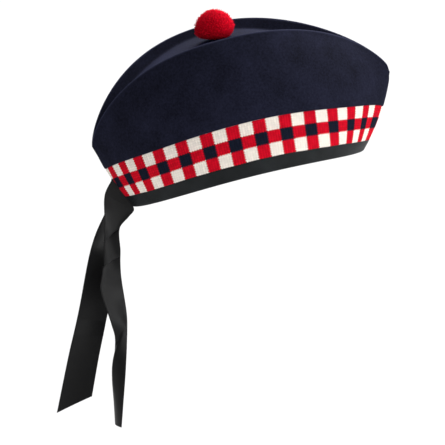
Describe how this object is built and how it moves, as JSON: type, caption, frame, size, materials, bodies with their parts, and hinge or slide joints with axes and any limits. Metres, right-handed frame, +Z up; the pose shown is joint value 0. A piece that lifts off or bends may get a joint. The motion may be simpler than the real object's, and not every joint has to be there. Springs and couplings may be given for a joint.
{
  "type": "glengarry cap",
  "caption": "Boat-shaped navy wool cap with a creased top, diced knitted band, bound rim, two ribbon tails at the back and a red yarn ball on top, worn on the head.",
  "frame": {"origin": "middle of the head opening, level with the rim's front and back points taken together", "axes": "+Z is up as worn, -Y is the front, +X is the wearer's left; the cap is tipped back about the X axis as it sits on a head"},
  "size_m": [0.1586, 0.2755, 0.3392],
  "materials": {
    "wool": "navy milled wool cloth, matt with a short nap",
    "knit": "knitted wool diced in red, white and navy",
    "ribbon": "black ribbed ribbon with a slight sheen",
    "yarn": "cut red wool yarn"
  },
  "bodies": {
    "root": {"crown_side_right": "wool", "crown_side_left": "wool", "crown_top": "wool", "diced_band": "knit", "rim_binding": "ribbon", "yarn_ball": "yarn", "ribbon_tail_right": "ribbon", "ribbon_tail_left": "ribbon"}
  },
  "joints": []
}
